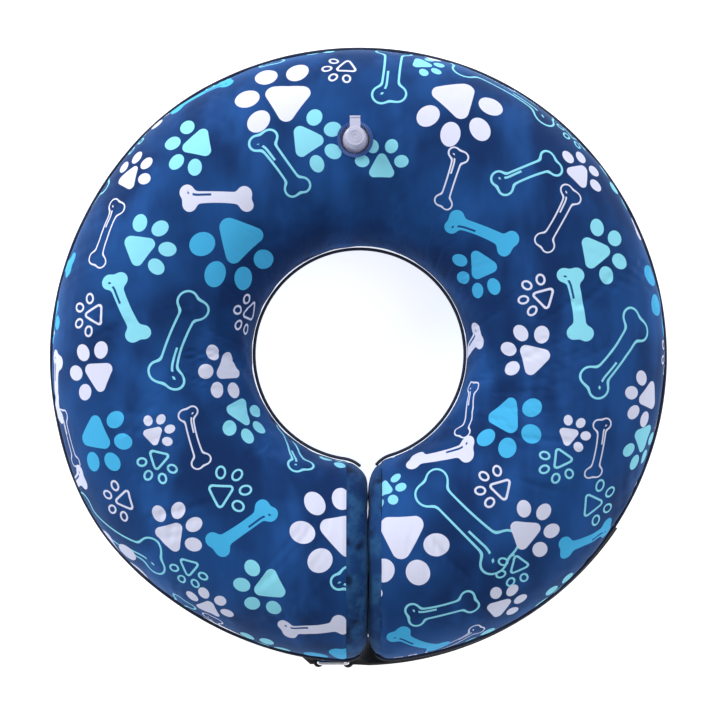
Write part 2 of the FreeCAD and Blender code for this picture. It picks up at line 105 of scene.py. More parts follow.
def gridPiece(name, points, reverse=False, closed=False, keepFace=None, normals=None):
    # one mesh from a grid of points: first axis along the piece, second across it
    columns, rows = points.shape[:2]
    index = np.arange(columns * rows).reshape(columns, rows)
    if closed:
        index = np.concatenate([index, index[:, :1]], axis=1)
    a, b = index[:-1, :-1], index[1:, :-1]
    c, d = index[1:, 1:], index[:-1, 1:]
    quads = np.stack([a, b, c, d] if reverse else [a, d, c, b], axis=-1).reshape(-1, 4)
    if keepFace is not None:
        quads = quads[keepFace.reshape(-1)]
    mesh = bpy.data.meshes.new(name)
    mesh.from_pydata(points.reshape(-1, 3).tolist(), [], quads.tolist())
    mesh.polygons.foreach_set("use_smooth", np.ones(len(quads), bool))
    mesh.update()
    if normals is not None:
        mesh.normals_split_custom_set_from_vertices(normals.reshape(-1, 3).tolist())
    piece = bpy.data.objects.new(name, mesh)
    bpy.context.scene.collection.objects.link(piece)
    return piece


def store(piece, name, values):
    layer = piece.data.attributes.new(name, "FLOAT", "POINT")
    layer.data.foreach_set("value", np.asarray(values, np.float32).reshape(-1))


def resample(field, places, axis):
    # smooth values between the rows of a coarse grid
    field = np.moveaxis(field, axis, 0)
    last = len(field) - 1
    base = np.clip(np.floor(places).astype(int), 0, last - 1)
    t = (places - base)[:, None, None]
    p0, p1 = field[np.clip(base - 1, 0, last)], field[base]
    p2, p3 = field[base + 1], field[np.clip(base + 2, 0, last)]
    bend = 2 * p0 - 5 * p1 + 4 * p2 - p3 + t * (3 * (p1 - p2) + p3 - p0)
    return np.moveaxis(p1 + 0.5 * t * (p2 - p0 + t * bend), 0, axis)


# shape of the inflated cover
cover = {
    "endRounding": 14 * mm,        # how round an arm's end is
    "seamBack": {left: 12.3 * mm, right: 7.1 * mm},   # panel seam, from the end face
    "endSwell": 0.2 * mm,          # end wall bulges this far
    "columns": 480, "frontRows": 128, "backRows": 84, "endRows": 46,
    "rimSwells": [(212, 19, 3.4 * mm), (180, 14, 0.9 * mm), (305, 22, 1.6 * mm), (90, 20, -0.7 * mm),
                  (20, 25, -0.6 * mm), (128, 12, 0.9 * mm)],
    "seamPinch": 1.2 * mm, "pinchWidth": 3.0 * mm,
    "simColumns": 144, "simFrontRows": 30, "simBackRows": 26,
    "valveOpening": 9.5 * mm,      # radius of the hole that the valve comes through
    "bendReach": 46 * mm,          # reach each way between crown and arm
}


def roundedEnd(distance):
    # how far the surface draws in near an arm's end
    radius = cover["endRounding"]
    reach = np.clip(radius - distance, 0, radius)
    return radius - np.sqrt(radius ** 2 - reach ** 2)


def rimSwell(azimuth, angle):
    total = 0
    for middle, width, height in cover["rimSwells"]:
        away = (np.degrees(azimuth) - middle + 180) % 360 - 180
        total = total + height * np.exp(-(away / width) ** 2)
    front = smooth((np.degrees(angle) + 20) / 22)
    return total * front * np.clip(np.cos(angle), 0, 1) ** 2


def tubePoints(columns, angles, inset=0.0, seamBack=None):
    # columns run from -1, the left arm's end seam, by 0 at the top, to 1 at the right one
    side = np.where(columns < 0, left, right)[:, None]
    face = np.where(columns < 0, faceX[left], faceX[right])[:, None] + side * inset
    back = cover["seamBack"] if seamBack is None else seamBack
    seamX = face + side * np.where(columns < 0, back[left], back[right])[:, None]
    cosine, sine = np.cos(angles)[None, :], np.sin(angles)[None, :]
    radius = tubeRadius + (halfWidth - inset) * cosine
    last = 1.5 * math.pi + np.arcsin(seamX / radius) - np.where(side > 0, 2 * math.pi, 0)
    azimuth = math.pi / 2 + np.abs(columns)[:, None] * (last - math.pi / 2)
    away = side * (radius * np.cos(azimuth) - face)
    away = np.where(np.sin(azimuth) < 0, away, 1.0)
    drawn = roundedEnd(away)
    radius = tubeRadius + (halfWidth - inset - drawn) * cosine + rimSwell(azimuth, angles[None, :])
    z = midZ + (halfHeight - inset - drawn) * sine
    z = np.maximum(z, (0.1 * mm if inset == 0 else inset) + 0 * z)
    return np.stack([radius * np.cos(azimuth), radius * np.sin(azimuth), z], axis=-1)


def endPoints(side, shares, angles, inset=0.0, back=None):
    # end wall of an arm: from the panels' seam, round the edge, to a line in the middle of the face
    rounding = cover["endRounding"]
    back = cover["seamBack"][side] if back is None else back
    first = math.asin(1 - back / rounding)
    edge = 0.34                                     # share of the wall that is the rounded edge
    turn = first + np.clip(shares / edge, 0, 1) * (math.pi / 2 - first)
    flat = np.clip((shares - edge) / (1 - edge), 0, 1)
    full = halfHeight - inset - 0.5 * mm
    drawn = (rounding - rounding * np.cos(turn)) * (1 - flat) + full * flat
    away = rounding * (1 - np.sin(turn)) - cover["endSwell"] * np.sin(flat * math.pi / 2)
    cosine, sine = np.cos(angles)[None, :], np.sin(angles)[None, :]
    radius = tubeRadius + (halfWidth - inset - drawn[:, None]) * cosine
    x = faceX[side] + side * (inset + away[:, None]) + 0 * radius
    z = np.maximum(midZ + (halfHeight - inset - drawn[:, None]) * sine, 0.1 * mm + inset)
    return np.stack([x, -np.sqrt(radius ** 2 - x ** 2), z], axis=-1)


fineAngles = np.linspace(0, math.pi, 2001)
stepLength = np.hypot(halfWidth * np.sin(fineAngles), halfHeight * np.cos(fineAngles))
fineLength = np.concatenate([[0], np.cumsum((stepLength[1:] + stepLength[:-1]) / 2) * math.pi / 2000])
halfLength = fineLength[-1]


def angleAt(length):
    # section angle at a length from the rim seam
    return np.interp(length, fineLength, fineAngles)


def lengthAt(angle):
    return np.interp(angle, fineAngles, fineLength)


# the print: paws and bones on a repeat, in millimetres on the flat cloth
repeatWidth, repeatHeight = 266.0, 260.0
turnShare = 0.9                   # the flat cloth's angle for each degree round the ring
white, pale, cyan = 0.0, 0.5, 1.0
printPaws = [                     # solid or not, colour, place, pointing, size
    (True, white, 103, 14, 145, 33), (True, white, 134, 236, 32, 20), (True, white, 129, 126, 52, 28),
    (True, white, 125, 177, 36, 33), (True, white, 188, 5, 202, 31), (True, white, 225, 161, 146, 48),
    (True, white, 55, 164, 286, 48), (True, pale, 174, 138, 190, 33), (True, pale, 138, 80, 16, 34),
    (True, pale, 190, 241, 288, 31), (True, pale, 36, 189, 344, 22), (True, pale, 237, 130, 3, 33),
    (True, pale, 12, 112, 90, 27), (True, pale, 245, 216, 213, 27), (True, cyan, 67, 59, 242, 32),
    (True, cyan, 200, 74, 247, 49), (True, cyan, 92, 241, 315, 38), (False, white, 105, 48, 172, 23),
    (False, white, 258, 184, 205, 22), (False, white, 101, 201, 180, 23), (False, white, 205, 32, 180, 23),
    (False, pale, 133, 222, 246, 22), (False, pale, 129, 156, 245, 22), (False, pale, 166, 198, 14, 27),
]
printBones = [                    # solid or not, colour, middle, pointing, length, stroke's side
    (False, pale, 19, 185, 264, 57, -1), (False, pale, 87, 179, 331, 72, -1),
    (False, pale, 159, 25, 240, 57, 1), (False, pale, 95, 120, 208, 43, -1),
    (False, pale, 216, 218, 255, 43, -1), (False, pale, 223, 117, 124, 44, 1),
    (False, white, 70, 241, 96, 36, 1), (False, white, 114, 95, 66, 42, 1),
    (False, white, 158, 231, 94, 36, -1), (False, white, 50, 108, 75, 36, 1),
    (True, white, 187, 101, 175, 43, -1), (True, white, 62, 213, 19, 44, 1),
    (True, pale, 127, 48, 107, 44, 1), (True, cyan, 171, 176, 20, 44, -1),
]
printOnce = [                     # bones that the repeat does not give, on the front only
    (True, cyan, 67, 79, 163, 44, 1), (True, cyan, -192, 85, 163, 44, 1),
    (True, cyan, 91, -168, 158, 44, 1), (True, white, 58, 11, 40, 44, 1),
    (True, white, -199, 12, 68, 44, 1),
]


def flatRadii():
    # radius on the flat cloth for every section angle, stretched evenly beyond the steep sides
    radius = (tubeRadius + halfWidth * np.cos(fineAngles)) / mm
    height = (midZ + halfHeight * np.sin(fineAngles)) / mm
    crest, halfSpan = 130, 54
    seen = radius * 982 / (1030 - height)
    past = np.maximum(seen - crest, 0)
    flat = seen * np.where(past > 0, 1 + 0.076 * (past / halfSpan) ** 1.3, 1 - 0.0005 * (crest - seen))
    first, last = np.searchsorted(fineAngles, np.radians([25, 155]))
    length, gathered = fineLength / mm, 1.3             # arc for each flat millimetre there
    flat[:first] = flat[first] + (length[first] - length[:first]) / gathered
    flat[last:] = flat[last] - (length[last:] - length[last]) / gathered
    return flat


class Cloth:
    # places on a panel, and how the motifs nearby see them
    def __init__(self, points, angles, backSide):
        self.length = np.broadcast_to(lengthAt(np.abs(angles))[None, :] / mm, points.shape[:2])
        self.radius = np.hypot(points[..., 0], points[..., 1]) / mm
        self.turn = np.unwrap(np.arctan2(points[..., 0], points[..., 1]), axis=0)
        self.flat = flatRadii()
        self.mirror = -1 if backSide else 1
        self.shift = 0.35 if backSide else 0.0       # turns the back's print, so its seams differ

    def near(self, x, y, reach):
        # points close to a motif, with their places as seen from it, in millimetres
        flatTurn = math.atan2(self.mirror * x, y)
        centreLength = np.interp(-math.hypot(x, y), -self.flat, fineLength / mm)
        angle = angleAt(centreLength * mm)
        centreRadius = (tubeRadius + halfWidth * math.cos(angle)) / mm
        dt = (self.turn - flatTurn / turnShare - self.shift) * (self.radius + centreRadius) / 2
        dr = centreLength - self.length
        picked = np.nonzero((np.abs(dr) < reach) & (np.abs(dt) < reach))
        dt, dr = dt[picked], dr[picked]
        dx = dr * math.sin(flatTurn) + dt * math.cos(flatTurn)
        dy = dr * math.cos(flatTurn) - dt * math.sin(flatTurn)
        return picked, self.mirror * dx, dy


def copies(x, y, flat):
    # every place of a motif on the repeat that falls on the cloth
    for i in range(-2, 3):
        for j in range(-2, 3):
            placeX, placeY = x + i * repeatWidth, y + j * repeatHeight
            if flat[-1] - 25 < math.hypot(placeX, placeY) < flat[0] + 25:
                yield placeX, placeY


def turned(dx, dy, turn):
    c, s = math.cos(math.radians(turn)), math.sin(math.radians(turn))
    return dx * c + dy * s, dy * c - dx * s


def triangleDistance(x, y, radius, rounding):
    corners = [(radius * math.cos(math.radians(a)), radius * math.sin(math.radians(a)))
               for a in (0, 121, 239)]
    near = np.full_like(x, 1e9)
    inside = np.full_like(x, True, dtype=bool)
    for (ax, ay), (bx, by) in zip(corners, corners[1:] + corners[:1]):
        ex, ey = bx - ax, by - ay
        t = np.clip(((x - ax) * ex + (y - ay) * ey) / (ex * ex + ey * ey), 0, 1)
        near = np.minimum(near, np.hypot(x - ax - ex * t, y - ay - ey * t))
        inside &= ex * (y - ay) - ey * (x - ax) > 0
    return np.where(inside, -near, near) - rounding


def ovalDistance(x, y, longer, shorter):
    scaled = np.hypot(x / longer, y / shorter)
    slope = np.hypot(x / longer ** 2, y / shorter ** 2)
    return scaled * (scaled - 1) / np.maximum(slope, 1e-6)


def blended(a, b, reach):
    h = np.maximum(reach - np.abs(a - b), 0) / reach
    return np.minimum(a, b) - h * h * reach / 4


def pawDistances(x, y, solid, size):
    if solid:
        pad = triangleDistance(x, y, 0.195 * size, 0.105 * size)
        longer, shorter = 0.155 * size, 0.13 * size
    else:
        pad = triangleDistance(x + 0.03 * size, y, 0.215 * size, 0.06 * size)
        longer, shorter = 0.125 * size, 0.098 * size
    toes = np.full_like(x, 1e9)
    for turn, reach in ((-69, 0.44), (-23, 0.50), (23, 0.50), (69, 0.44)):
        c, s = math.cos(math.radians(turn)), math.sin(math.radians(turn))
        toes = np.minimum(toes, ovalDistance(x * c + y * s - reach * size, y * c - x * s,
                                             longer, shorter))
    return pad, toes


def boneDistances(x, y, solid, tone, length, way):
    # two uneven lobes at each end of a shaft, and a highlight stroke beside the first end
    y = way * y
    if solid:
        knob, apart, shaft = 0.098 * length, 0.080 * length, 0.082 * length
    elif tone == white:
        knob, apart, shaft = 0.088 * length, 0.070 * length, 0.070 * length
    else:
        knob, apart, shaft = 0.100 * length, 0.082 * length, 0.088 * length
    half, reach = length / 2, np.abs(x)
    bone = np.hypot(np.maximum(reach - half + 1.6 * knob, 0), y)
    bone = bone - shaft * (0.92 + 0.25 * (reach / half) ** 2)
    for end in (-1, 1):
        for slant, back in ((1, 1.0), (-1, 1.35)):
            lobe = np.hypot(x - end * (half - back * knob), y - end * slant * apart) - knob
            bone = blended(bone, lobe, 0.06 * length)
    bend = np.maximum(x - 0.24 * length, 0) / length
    strokeSide = (y - 0.42 * shaft - 1.9 * length * bend ** 2) / np.sqrt(1 + (3.8 * bend) ** 2)
    dash = np.abs(x - 0.385 * length) - 0.014 * length
    line = np.abs(x - 0.20 * length) - 0.125 * length
    return bone, strokeSide, np.minimum(dash, line)


def printFields(points, angles, backSide=False):
    # distance of every point to the printed shapes, solid ones and drawn ones apart
    cloth = Cloth(points, angles, backSide)
    distances = ("padSolid", "toeSolid", "padLine", "toeLine", "boneAny", "strokeSide", "strokeEnd")
    fields = {name: np.full(points.shape[:2], 20.0) for name in distances}
    for name in ("padTone", "toeTone", "padLineTone", "toeLineTone"):
        fields[name] = np.zeros(points.shape[:2])

    def nearer(picked, distance, together):
        # keeps the nearest shape, and what goes with it
        first = next(iter(together))
        closer = distance < fields[first][picked]
        places = tuple(index[closer] for index in picked)
        for name, values in together.items():
            fields[name][places] = values[closer] if isinstance(values, np.ndarray) else values

    for solid, tone, x, y, turn, size in printPaws:
        kind = "Solid" if solid else "Line"
        toneKind = "" if solid else "Line"
        for placeX, placeY in copies(x, y, cloth.flat):
            picked, dx, dy = cloth.near(placeX, placeY, size)
            pad, toes = pawDistances(*turned(dx, dy, turn), solid, size)
            nearer(picked, pad, {"pad" + kind: pad, "pad" + toneKind + "Tone": tone})
            nearer(picked, toes, {"toe" + kind: toes, "toe" + toneKind + "Tone": tone})
    bones = [(bone, place) for bone in printBones for place in copies(bone[2], bone[3], cloth.flat)]
    if not backSide:
        bones += [(bone, bone[2:4]) for bone in printOnce]
    for (solid, tone, _, _, turn, length, way), place in bones:
        picked, dx, dy = cloth.near(*place, 0.8 * length)
        bone, side, end = boneDistances(*turned(dx, dy, turn), solid, tone, length, way)
        fine = 1.45 if tone == white and not solid else 1.0         # white bones are drawn finer
        bone, side = bone * fine, side * fine
        if solid:
            nearer(picked, bone, {"padSolid": bone, "padTone": tone})
        else:
            nearer(picked, bone, {"padLine": bone, "padLineTone": tone})
        nearer(picked, bone, {"boneAny": bone, "strokeSide": side, "strokeEnd": end})
    return fields


# materials
def colour(text):
    # display colour, as six hexadecimal digits, to the linear light that shaders use
    parts = [int(text[i:i + 2], 16) / 255 for i in (0, 2, 4)]
    return [p / 12.92 if p <= 0.04045 else ((p + 0.055) / 1.055) ** 2.4 for p in parts] + [1.0]


class Finish:
    # a node material with short calls for what these finishes need
    def __init__(self, name):
        self.material = bpy.data.materials.new(name)
        self.material.use_nodes = True
        self.nodes = self.material.node_tree.nodes
        self.links = self.material.node_tree.links
        self.shader = self.nodes["Principled BSDF"]

    def put(self, socket, value):
        if isinstance(value, bpy.types.NodeSocket):
            self.links.new(value, socket)
        elif value is not None:
            socket.default_value = value

    def set(self, **values):
        for name, value in values.items():
            label = {"color": "Base Color", "ior": "IOR", "gloss": "Specular IOR Level"}.get(name)
            label = label or "".join(" " + c if c.isupper() else c for c in name).strip().title()
            self.put(self.shader.inputs[label], value)

    def math(self, operation, a, b=None, c=None, clamp=False):
        node = self.nodes.new("ShaderNodeMath")
        node.operation = operation
        node.use_clamp = clamp
        for socket, value in zip(node.inputs, (a, b, c)):
            self.put(socket, value)
        return node.outputs[0]

    def mix(self, share, a, b, blend="MIX"):
        node = self.nodes.new("ShaderNodeMix")
        node.data_type = "RGBA"
        node.blend_type = blend
        self.put(node.inputs["Factor"], share)
        self.put(node.inputs["A"], a)
        self.put(node.inputs["B"], b)
        return node.outputs["Result"]

    def ramp(self, value, low, high):
        node = self.nodes.new("ShaderNodeMapRange")
        node.interpolation_type = "SMOOTHSTEP"
        self.put(node.inputs["Value"], value)
        self.put(node.inputs["From Min"], low)
        self.put(node.inputs["From Max"], high)
        return node.outputs["Result"]

    def attribute(self, name):
        node = self.nodes.new("ShaderNodeAttribute")
        node.attribute_name = name
        return node.outputs["Fac"]

    def place(self, scale=(1, 1, 1)):
        node = self.nodes.new("ShaderNodeMapping")
        node.inputs["Scale"].default_value = scale
        coordinates = self.nodes.new("ShaderNodeTexCoord")
        self.links.new(coordinates.outputs["Object"], node.inputs["Vector"])
        return node.outputs["Vector"]

    def noise(self, scale, detail=2.0, place=None, roughness=0.5):
        node = self.nodes.new("ShaderNodeTexNoise")
        node.inputs["Scale"].default_value = scale
        node.inputs["Detail"].default_value = detail
        node.inputs["Roughness"].default_value = roughness
        self.put(node.inputs["Vector"], place if place is not None else self.place())
        return node.outputs["Fac"]

    def bump(self, height, distance, strength=1.0, onto=None):
        node = self.nodes.new("ShaderNodeBump")
        node.inputs["Distance"].default_value = distance
        node.inputs["Strength"].default_value = strength
        self.put(node.inputs["Height"], height)
        self.put(node.inputs["Normal"], onto)
        self.links.new(node.outputs["Normal"], self.shader.inputs["Normal"])
        return node.outputs["Normal"]


# velvet colours: a shaded navy and a lit navy are painted shade and painted sheen of the one navy; white,
# pale and cyan are the print's inks
plush = {
    "navy": colour("1c4b8a"), "deep": colour("112f60"), "lit": colour("2a62ae"),
    "white": colour("dfe1f7"), "pale": colour("8fe0f4"), "cyan": colour("48b6ea"),
    "lineWidth": 1.3, "edge": 0.14,
}


def plushFinish(name, printed):
    finish = Finish(name)
    napAndShade = finish.noise(14, 3, roughness=0.6)
    sheenStreak = finish.noise(38, 3, place=finish.place((1.0, 0.35, 1.0)))
    pile = finish.noise(2600, 2, roughness=0.7)
    # painted shade and painted sheen: broad patches of the shaded navy and stretched streaks of the lit
    # navy over the same velvet
    base = finish.mix(finish.ramp(napAndShade, 0.38, 0.66), plush["deep"], plush["navy"])
    base = finish.mix(finish.math("MULTIPLY", finish.ramp(sheenStreak, 0.45, 0.75), 0.55), base, plush["lit"])
    base = finish.mix(finish.math("MULTIPLY", pile, 0.22), base, plush["deep"])
    if printed:
        wobble = finish.math("MULTIPLY_ADD", pile, 0.16, -0.08)

        def near(attribute):
            return finish.math("ADD", finish.attribute(attribute), wobble)

        def inside(distance, limit=0.0):
            edge = plush["edge"]
            return finish.math("SUBTRACT", 1.0, finish.ramp(distance, limit - edge, limit + edge))

        def tone(attribute):
            value = finish.attribute(attribute)
            pick = finish.mix(finish.math("GREATER_THAN", value, 0.25), plush["white"], plush["pale"])
            return finish.mix(finish.math("GREATER_THAN", value, 0.75), pick, plush["cyan"])

        half = plush["lineWidth"] / 2
        stroke = finish.math("MULTIPLY",
                             inside(finish.math("ABSOLUTE", finish.attribute("strokeSide")), half),
                             inside(near("strokeEnd")))
        stroke = finish.math("MULTIPLY", stroke, inside(finish.attribute("boneAny")))
        padLine = inside(finish.math("ABSOLUTE", near("padLine")), half)
        padLine = finish.math("MAXIMUM", padLine, stroke)
        toeLine = inside(finish.math("ABSOLUTE", near("toeLine")), half * 0.92)
        padSolid = inside(near("padSolid"))
        base = finish.mix(toeLine, base, tone("toeLineTone"))
        base = finish.mix(padLine, base, tone("padLineTone"))
        base = finish.mix(inside(near("toeSolid")), base, tone("toeTone"))
        base = finish.mix(padSolid, base, tone("padTone"))
        base = finish.mix(finish.math("MULTIPLY", stroke, padSolid), base, plush["navy"])
        base = finish.mix(finish.math("MULTIPLY", finish.ramp(pile, 0.45, 0.8), 0.10), base, plush["navy"])
    else:
        # painted shade: the end walls' velvet is the panels' navy darkened, with lighter mottles of
        # painted sheen and darker patches of painted shade
        base = finish.mix(0.45, base, colour("142c52"))
        sheenMottle = finish.noise(85, 4, place=finish.place((1.0, 1.0, 0.45)), roughness=0.62)
        sheenMottle = finish.math("MULTIPLY", finish.ramp(sheenMottle, 0.42, 0.7), 0.75)
        base = finish.mix(sheenMottle, base, colour("2f5f8c"))
        base = finish.mix(finish.ramp(finish.noise(60, 3), 0.52, 0.72), base, colour("101c3c"))
    finish.set(color=base, roughness=0.88, gloss=0.12, sheenWeight=0.30,
               sheenRoughness=0.38, sheenTint=colour("8fb8f0"))
    normal = finish.bump(pile, 0.00022, 0.55)
    finish.bump(napAndShade, 0.0012, 0.35, onto=normal)
    return finish.material


def clothFinish(name, tint, dark, scale, sheen=0.15, depth=0.0002, roughness=0.8):
    # close woven or piled cloth
    finish = Finish(name)
    fine = finish.noise(scale, 2, roughness=0.6)
    broad = finish.noise(45, 3)
    base = finish.mix(fine, colour(dark), colour(tint))
    base = finish.mix(finish.math("MULTIPLY", broad, 0.3), base, colour(dark))
    finish.set(color=base, roughness=roughness, sheenWeight=sheen, sheenRoughness=0.4)
    finish.bump(fine, depth, 0.8)
    return finish.material


def webbingFinish(name, tint, dark):
    # ribs run across the webbing, which follows the ring
    finish = Finish(name)
    split = finish.nodes.new("ShaderNodeSeparateXYZ")
    finish.put(split.inputs[0], finish.place())
    turn = finish.math("ARCTAN2", split.outputs["Y"], split.outputs["X"])
    ribs = finish.math("SINE", finish.math("MULTIPLY", turn, 187.0 / 1.5 * 2 * math.pi))
    rows = finish.math("SINE", finish.math("MULTIPLY", split.outputs["Z"], 2 * math.pi / 0.0017))
    weave = finish.math("MULTIPLY_ADD", finish.math("MULTIPLY", ribs, rows), 0.35,
                        finish.math("MULTIPLY_ADD", ribs, 0.3, 0.5), clamp=True)
    fuzz = finish.noise(900, 3)
    base = finish.mix(weave, colour(dark), colour(tint))
    base = finish.mix(finish.math("MULTIPLY", fuzz, 0.35), base, colour(dark))
    finish.set(color=base, roughness=0.72, sheenWeight=0.25, sheenRoughness=0.35)
    finish.bump(finish.math("MULTIPLY_ADD", fuzz, 0.2, weave), 0.00035, 0.9)
    return finish.material


def ribFinish(name, tint, dark, pitch, around=(0, 0), radius=9.5 * mm):
    # close ribs that run out from a middle: overlock thread round a hole, or a zipper's coil
    finish = Finish(name)
    split = finish.nodes.new("ShaderNodeSeparateXYZ")
    finish.put(split.inputs[0], finish.place())
    turn = finish.math("ARCTAN2", finish.math("SUBTRACT", split.outputs["Y"], around[1]),
                       finish.math("SUBTRACT", split.outputs["X"], around[0]))
    count = round(2 * math.pi * radius / pitch)
    ribs = finish.math("MULTIPLY_ADD", finish.math("SINE", finish.math("MULTIPLY", turn, count)), 0.5, 0.5)
    fuzz = finish.noise(1500, 2)
    base = finish.mix(finish.math("MULTIPLY_ADD", fuzz, 0.3, finish.math("MULTIPLY", ribs, 0.7)),
                      colour(dark), colour(tint))
    finish.set(color=base, roughness=0.5, sheenWeight=0.15, sheenRoughness=0.4)
    finish.bump(ribs, 0.0004, 1.0)
    return finish.material


def metalFinish(name, tint, worn, roughness):
    finish = Finish(name)
    scuff = finish.noise(420, 5, place=finish.place((1.0, 1.0, 0.3)), roughness=0.7)
    finish.set(color=finish.mix(finish.ramp(scuff, 0.45, 0.75), colour(tint), colour(worn)),
               metallic=1.0, roughness=finish.math("MULTIPLY_ADD", scuff, 0.16, roughness))
    finish.bump(scuff, 0.00004, 0.4)
    return finish.material


def vinylFinish(name, tint, transmission, roughness):
    finish = Finish(name)
    cloud = finish.noise(260, 3)
    finish.set(color=finish.mix(finish.math("MULTIPLY", cloud, 0.4), colour(tint), colour("f4f2ff")),
               roughness=finish.math("MULTIPLY_ADD", cloud, 0.12, roughness), ior=1.47,
               transmissionWeight=transmission, coatWeight=0.9, coatRoughness=0.04)
    finish.bump(cloud, 0.00012, 0.35)
    return finish.material


finishes = {
    "plushPrint": plushFinish("plushPrint", True),
    "plushPlainShaded": plushFinish("plushPlainShaded", False),
    "piping": clothFinish("pipingCloth", "2a3454", "0c1122", 1500, sheen=0.35),
    "film": vinylFinish("bladderFilm", "c9d6ea", 0.35, 0.25),
    "vinyl": vinylFinish("clearVinyl", "dedffb", 0.30, 0.08),
    "thread": ribFinish("overlockThread", "3563b4", "1d3f80", 0.0011, around=(valveX, valveY)),
    "zipTape": clothFinish("zipperTape", "1a2b5a", "0c1634", 1300, depth=0.00015),
    "zipTeeth": ribFinish("zipperCoil", "2b4280", "0f1a3c", 0.0014, radius=160 * mm),
    "zipMetal": metalFinish("zipperMetal", "7d828c", "d8dbe0", 0.24),
    "webbing": webbingFinish("strapWebbing", "2a2724", "0b0a09"),
    "hook": clothFinish("hookPile", "2b2a2b", "0a0a0a", 1000, depth=0.0006, roughness=0.6),
    "loop": clothFinish("loopPile", "302f33", "0d0d0f", 700, sheen=0.4, depth=0.0008),
    "ring": metalFinish("ringMetal", "d9dbdf", "ffffff", 0.12),
}
print("materials:", len(finishes))


def dress(piece, finish):
    piece.data.materials.clear()
    piece.data.materials.append(finishes[finish])


# cloth simulation: pressure swells the cover between its pinned seams
puff = {"pressure": 4.0, "frames": 20, "spareCloth": 0.03, "cap": 2.2 * mm, "share": 0.7,
        "start": 3.0 * mm}


def sectionRows(frontCount, backCount):
    front = angleAt(np.linspace(0, halfLength, frontCount + 1))
    back = -angleAt(np.linspace(0, halfLength, backCount + 1))
    return front, back


def inflate():
    columns = np.linspace(-1, 1, 2 * cover["simColumns"] + 1)
    front, back = sectionRows(cover["simFrontRows"], cover["simBackRows"])
    angles = np.concatenate([front, back[::-1][1:-1]])
    start = tubePoints(columns, angles, inset=puff["start"])
    piece = gridPiece("cover_swelling", start, closed=True)
    pins = piece.vertex_groups.new(name="seams")
    index = np.arange(start.shape[0] * start.shape[1]).reshape(start.shape[:2])
    held = np.concatenate([index[:, 0], index[:, len(front) - 1], index[0], index[-1]])
    pins.add(np.unique(held).tolist(), 1.0, "REPLACE")
    cloth = piece.modifiers.new("cloth", "CLOTH")
    settings = cloth.settings
    settings.quality = 6
    settings.mass = 0.25
    settings.tension_stiffness = settings.compression_stiffness = 28
    settings.bending_stiffness = 0.25
    settings.use_pressure = True
    settings.uniform_pressure_force = puff["pressure"]
    settings.shrink_min = -puff["spareCloth"]
    settings.vertex_group_mass = "seams"
    settings.effector_weights.gravity = 0.0
    cloth.collision_settings.use_collision = False
    scene = bpy.context.scene
    scene.frame_start, scene.frame_end = 1, puff["frames"]
    for step in range(1, puff["frames"] + 1):
        scene.frame_set(step)
    shaped = piece.evaluated_get(bpy.context.evaluated_depsgraph_get())
    settled = np.empty(start.size, np.float32)
    shaped.data.vertices.foreach_get("co", settled)
    bpy.data.objects.remove(piece)
    scene.frame_set(1)
    moved = settled.reshape(start.shape).astype(float) - start
    out = gridNormals(start, False)
    swell = np.sum(moved * out, axis=2, keepdims=True)
    even = np.median(swell, axis=0, keepdims=True)
    print("swell of the cover, mm:", round(float(np.median(even) / mm), 2),
          "wrinkles:", round(float(np.std(swell - even) / mm), 3))
    wrinkles = puff["share"] * np.clip(swell - even, -puff["cap"], puff["cap"])
    ends = smooth((1 - np.abs(columns)) * cover["simColumns"] / 9 - 0.15)[:, None]
    seams = smooth(np.abs(np.sin(angles)) * 2.2)[None, :]
    return wrinkles * (ends * seams)[..., None] * out, len(front)


simMove, simFront = inflate()
print("cover simulated")


# front and back panels
creases = [(176, 0.35, 26, 0.75 * mm), (188, 0.3, 22, 0.5 * mm), (318, 0.5, 30, 0.5 * mm),
           (335, 0.6, 24, 0.4 * mm), (232, 0.5, 20, 0.4 * mm)]     # azimuth, width, reach, depth


def puckers(points, fromRim, side):
    # small folds where the cloth is gathered into its seams, and broad soft unevenness
    azimuth = np.degrees(np.arctan2(points[..., 1], points[..., 0])) % 360
    fromNeck = halfLength - fromRim
    around = np.unwrap(np.radians(azimuth), axis=0) + 10
    rim, neck = around * outerRadius, around * neckRadius
    depth = 0.50 * mm * wander(rim, 13 * mm, 3 + side) * np.exp(-fromRim / (13 * mm))
    depth = depth + 0.26 * mm * wander(rim, 6 * mm, 5 + side) * np.exp(-fromRim / (5 * mm))
    depth = depth + 0.75 * mm * wander(neck, 8 * mm, 7 + side) * np.exp(-fromNeck / (12 * mm))
    depth = depth + 0.32 * mm * patches(points[..., 0] + 1, points[..., 1] + 1, 34 * mm, 11 + side)
    for middle, width, reach, height in creases:
        away = ((azimuth - middle + 180) % 360 - 180) / width / 2
        depth = depth - height * np.exp(-away ** 2) * np.exp(-(fromRim / (reach * mm)) ** 2)
    for face in (left, right):
        away = np.abs(points[..., 0] - faceX[face] - face * cover["seamBack"][face])
        near = np.exp(-away / (7 * mm)) * (points[..., 1] < 0)
        near = near * (face * (points[..., 0] - faceX[face]) > 0)
        ripple = wander(points[..., 1] + points[..., 2] + 1, 9 * mm, 17 + face)
        depth = depth + 0.55 * mm * ripple * near - 0.7 * mm * np.exp(-(away / (1.6 * mm)) ** 2) * near
    pinch = np.exp(-(fromRim / cover["pinchWidth"]) ** 2) + np.exp(-(fromNeck / cover["pinchWidth"]) ** 2)
    return depth * (1 - 0.5 * pinch) - cover["seamPinch"] * pinch


